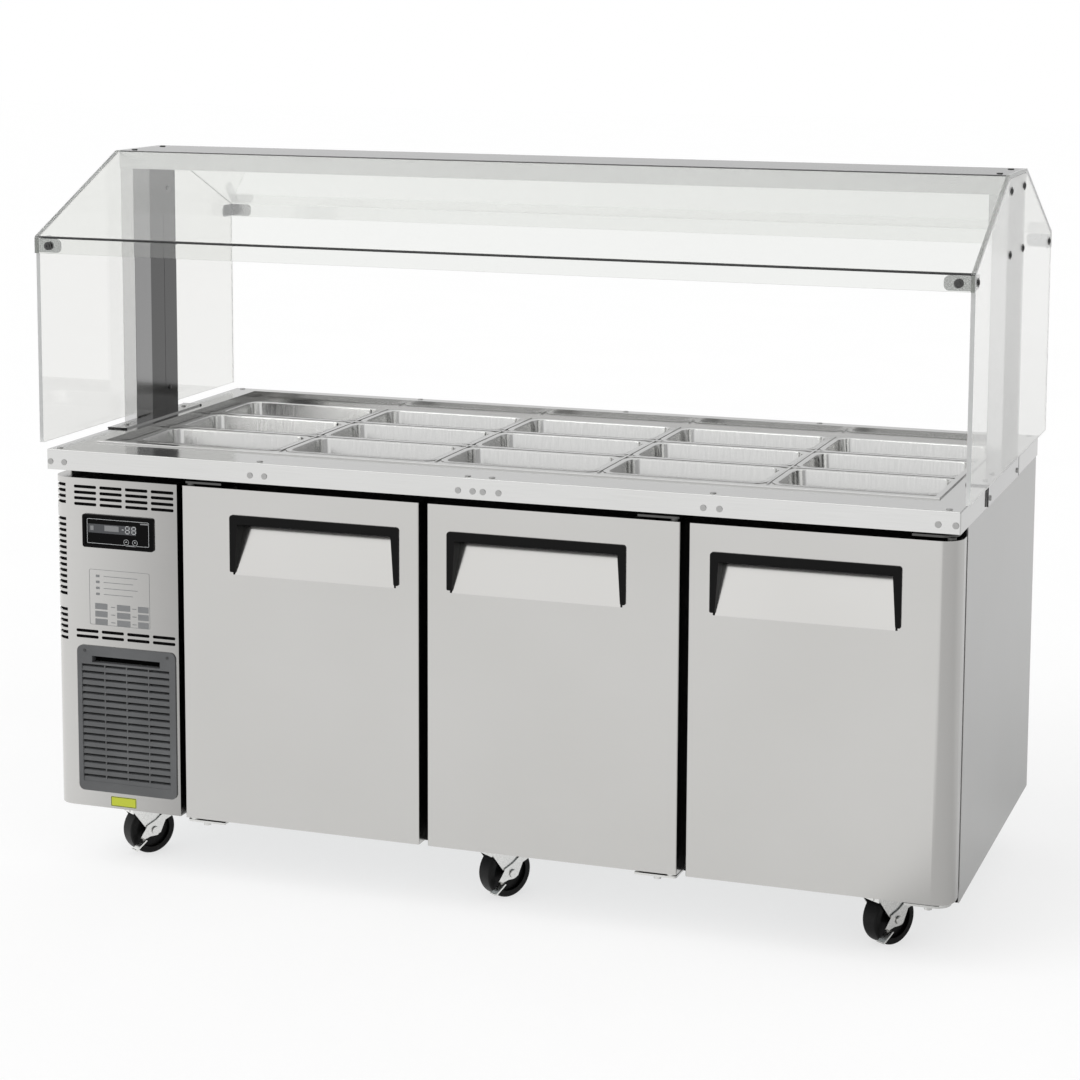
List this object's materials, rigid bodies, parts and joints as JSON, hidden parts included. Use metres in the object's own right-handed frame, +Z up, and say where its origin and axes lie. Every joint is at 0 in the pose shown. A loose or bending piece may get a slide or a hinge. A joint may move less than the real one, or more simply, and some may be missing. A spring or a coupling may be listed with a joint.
{
  "type": "mobile salad bar",
  "caption": "Refrigerated salad bar cart: stainless top with a well of food pans under a clear guard, cold cupboards behind hinged doors, a machine compartment and swivel casters.",
  "frame": {"origin": "on the floor, below the centre of the counter", "axes": "+X to the customer's right along the counter, the machine compartment being on -X; +Y to the back; the doors are on -Y; +Z up"},
  "size_m": [1.835, 0.865, 1.4165],
  "materials": {
    "stainless_top": "brushed stainless steel, satin",
    "stainless_panel": "fine-grained stainless sheet, satin",
    "stainless_pan": "pressed stainless, bright satin",
    "stainless_post": "folded stainless channel, satin",
    "galvanised": "galvanised sheet, satin",
    "liner_steel": "stainless inner liner, satin",
    "door_liner": "white moulded liner over foam, matte",
    "foam": "rigid foam, matte",
    "black_frame": "black moulded plastic, satin",
    "black_handle": "black moulded plastic, satin",
    "gasket": "soft black seal, matte",
    "grille_grey": "dark grey moulded plastic, satin",
    "control_black": "black plastic, satin gloss",
    "button_black": "black plastic keys, satin",
    "clear_acrylic": "clear acrylic sheet, gloss",
    "zinc": "zinc plated steel, satin",
    "screws": "stainless screws and plugs, satin",
    "shelf_coating": "light grey epoxy-coated wire, satin",
    "compressor_black": "black enamel, satin",
    "coil": "aluminium fins, satin",
    "fan_black": "black moulded plastic, matte",
    "wheel_black": "solid black wheel, satin",
    "gland_black": "black nylon, matte"
  },
  "bodies": {
    "cabinet": {"worktop": "stainless_top", "well_frame": "stainless_top", "pan_bars": "stainless_top", "well_tub": "galvanised", "insulation": "foam", "compartment_liner": "liner_steel", "cabinet_case": "galvanised", "side_panels": "stainless_panel", "face_frame": "black_frame", "shelves": "shelf_coating", "hinge_brackets": "zinc", "machine_panel": "stainless_panel", "air_grille": "grille_grey", "control_panel": "control_black", "condenser": "coil", "compressor": "compressor_black", "evaporator": "coil", "cable_gland": "gland_black", "guard_canopy": "clear_acrylic", "end_panels": "clear_acrylic", "posts": "stainless_post", "post_feet": "stainless_post", "top_channel": "stainless_post", "corner_clips": "zinc", "fasteners": "screws", "caster_plates": "zinc"},
    "left_door": {"door_skin_left": "stainless_panel", "door_core_left": "door_liner", "door_handle_left": "black_handle", "door_gasket_left": "gasket"},
    "middle_door": {"door_skin_middle": "stainless_panel", "door_core_middle": "door_liner", "door_handle_middle": "black_handle", "door_gasket_middle": "gasket"},
    "right_door": {"door_skin_right": "stainless_panel", "door_core_right": "door_liner", "door_handle_right": "black_handle", "door_gasket_right": "gasket"},
    "front_pans": {"pans_front_row": "stainless_pan"},
    "middle_pans": {"pans_middle_row": "stainless_pan"},
    "back_pans": {"pans_back_row": "stainless_pan"},
    "left_button": {"control_button_left": "button_black"},
    "right_button": {"control_button_right": "button_black"},
    "condenser_fan_rotor": {"condenser_fan": "fan_black"},
    "evaporator_fan_rotor": {"evaporator_fan": "fan_black"},
    "fork_front_left": {"caster_fork_front_left": "zinc"},
    "wheel_front_left": {"caster_wheel_front_left": "wheel_black"},
    "brake_front_left": {"brake_pedal_front_left": "zinc"},
    "fork_front_middle": {"caster_fork_front_middle": "zinc"},
    "wheel_front_middle": {"caster_wheel_front_middle": "wheel_black"},
    "brake_front_middle": {"brake_pedal_front_middle": "zinc"},
    "fork_front_right": {"caster_fork_front_right": "zinc"},
    "wheel_front_right": {"caster_wheel_front_right": "wheel_black"},
    "brake_front_right": {"brake_pedal_front_right": "zinc"},
    "fork_rear_left": {"caster_fork_rear_left": "zinc"},
    "wheel_rear_left": {"caster_wheel_rear_left": "wheel_black"},
    "fork_rear_middle": {"caster_fork_rear_middle": "zinc"},
    "wheel_rear_middle": {"caster_wheel_rear_middle": "wheel_black"},
    "fork_rear_right": {"caster_fork_rear_right": "zinc"},
    "wheel_rear_right": {"caster_wheel_rear_right": "wheel_black"}
  },
  "joints": [
    {"name": "left_door_hinge", "type": "hinge", "parent": "cabinet", "child": "left_door", "pos_m": [-0.597, -0.403, 0.464], "axis": [0, 0, -1], "range_deg": [0, 100]},
    {"name": "middle_door_hinge", "type": "hinge", "parent": "cabinet", "child": "middle_door", "pos_m": [0.376, -0.403, 0.464], "axis": [0, 0, 1], "range_deg": [0, 100]},
    {"name": "right_door_hinge", "type": "hinge", "parent": "cabinet", "child": "right_door", "pos_m": [0.879, -0.397, 0.464], "axis": [0, 0, 1], "range_deg": [0, 100]},
    {"name": "front_pans_lift", "type": "slide", "parent": "cabinet", "child": "front_pans", "axis": [0, 0, 1], "range_m": [0, 0.15]},
    {"name": "middle_pans_lift", "type": "slide", "parent": "cabinet", "child": "middle_pans", "axis": [0, 0, 1], "range_m": [0, 0.15]},
    {"name": "back_pans_lift", "type": "slide", "parent": "cabinet", "child": "back_pans", "axis": [0, 0, 1], "range_m": [0, 0.15]},
    {"name": "left_button_press", "type": "slide", "parent": "cabinet", "child": "left_button", "axis": [0, 1, 0], "range_m": [0, 0.0015], "stiffness_N_per_m": 500, "springref_m": -0.002},
    {"name": "right_button_press", "type": "slide", "parent": "cabinet", "child": "right_button", "axis": [0, 1, 0], "range_m": [0, 0.0015], "stiffness_N_per_m": 500, "springref_m": -0.002},
    {"name": "condenser_fan_spin", "type": "hinge", "parent": "cabinet", "child": "condenser_fan_rotor", "pos_m": [-0.745, -0.27, 0.31], "axis": [0, 1, 0], "continuous": true},
    {"name": "evaporator_fan_spin", "type": "hinge", "parent": "cabinet", "child": "evaporator_fan_rotor", "pos_m": [-0.536, 0.12, 0.54], "axis": [1, 0, 0], "continuous": true},
    {"name": "front_left_swivel", "type": "hinge", "parent": "cabinet", "child": "fork_front_left", "pos_m": [-0.786, -0.282, 0.105], "axis": [0, 0, 1], "continuous": true},
    {"name": "front_left_wheel_spin", "type": "hinge", "parent": "fork_front_left", "child": "wheel_front_left", "pos_m": [-0.7737, -0.26376, 0.05], "axis": [-0.829, 0.5592, 0], "continuous": true},
    {"name": "front_left_brake", "type": "hinge", "parent": "fork_front_left", "child": "brake_front_left", "pos_m": [-0.7737, -0.26376, 0.05], "axis": [0.829, -0.5592, 0], "range_deg": [0, 12]},
    {"name": "front_middle_swivel", "type": "hinge", "parent": "cabinet", "child": "fork_front_middle", "pos_m": [-0.014, -0.282, 0.105], "axis": [0, 0, 1], "continuous": true},
    {"name": "front_middle_wheel_spin", "type": "hinge", "parent": "fork_front_middle", "child": "wheel_front_middle", "pos_m": [-0.0017, -0.26376, 0.05], "axis": [-0.829, 0.5592, 0], "continuous": true},
    {"name": "front_middle_brake", "type": "hinge", "parent": "fork_front_middle", "child": "brake_front_middle", "pos_m": [-0.0017, -0.26376, 0.05], "axis": [0.829, -0.5592, 0], "range_deg": [0, 12]},
    {"name": "front_right_swivel", "type": "hinge", "parent": "cabinet", "child": "fork_front_right", "pos_m": [0.742, -0.282, 0.105], "axis": [0, 0, 1], "continuous": true},
    {"name": "front_right_wheel_spin", "type": "hinge", "parent": "fork_front_right", "child": "wheel_front_right", "pos_m": [0.7543, -0.26376, 0.05], "axis": [-0.829, 0.5592, 0], "continuous": true},
    {"name": "front_right_brake", "type": "hinge", "parent": "fork_front_right", "child": "brake_front_right", "pos_m": [0.7543, -0.26376, 0.05], "axis": [0.829, -0.5592, 0], "range_deg": [0, 12]},
    {"name": "rear_left_swivel", "type": "hinge", "parent": "cabinet", "child": "fork_rear_left", "pos_m": [-0.786, 0.316, 0.105], "axis": [0, 0, 1], "continuous": true},
    {"name": "rear_left_wheel_spin", "type": "hinge", "parent": "fork_rear_left", "child": "wheel_rear_left", "pos_m": [-0.7737, 0.33424, 0.05], "axis": [-0.829, 0.5592, 0], "continuous": true},
    {"name": "rear_middle_swivel", "type": "hinge", "parent": "cabinet", "child": "fork_rear_middle", "pos_m": [-0.014, 0.316, 0.105], "axis": [0, 0, 1], "continuous": true},
    {"name": "rear_middle_wheel_spin", "type": "hinge", "parent": "fork_rear_middle", "child": "wheel_rear_middle", "pos_m": [-0.0017, 0.33424, 0.05], "axis": [-0.829, 0.5592, 0], "continuous": true},
    {"name": "rear_right_swivel", "type": "hinge", "parent": "cabinet", "child": "fork_rear_right", "pos_m": [0.742, 0.316, 0.105], "axis": [0, 0, 1], "continuous": true},
    {"name": "rear_right_wheel_spin", "type": "hinge", "parent": "fork_rear_right", "child": "wheel_rear_right", "pos_m": [0.7543, 0.33424, 0.05], "axis": [-0.829, 0.5592, 0], "continuous": true}
  ]
}
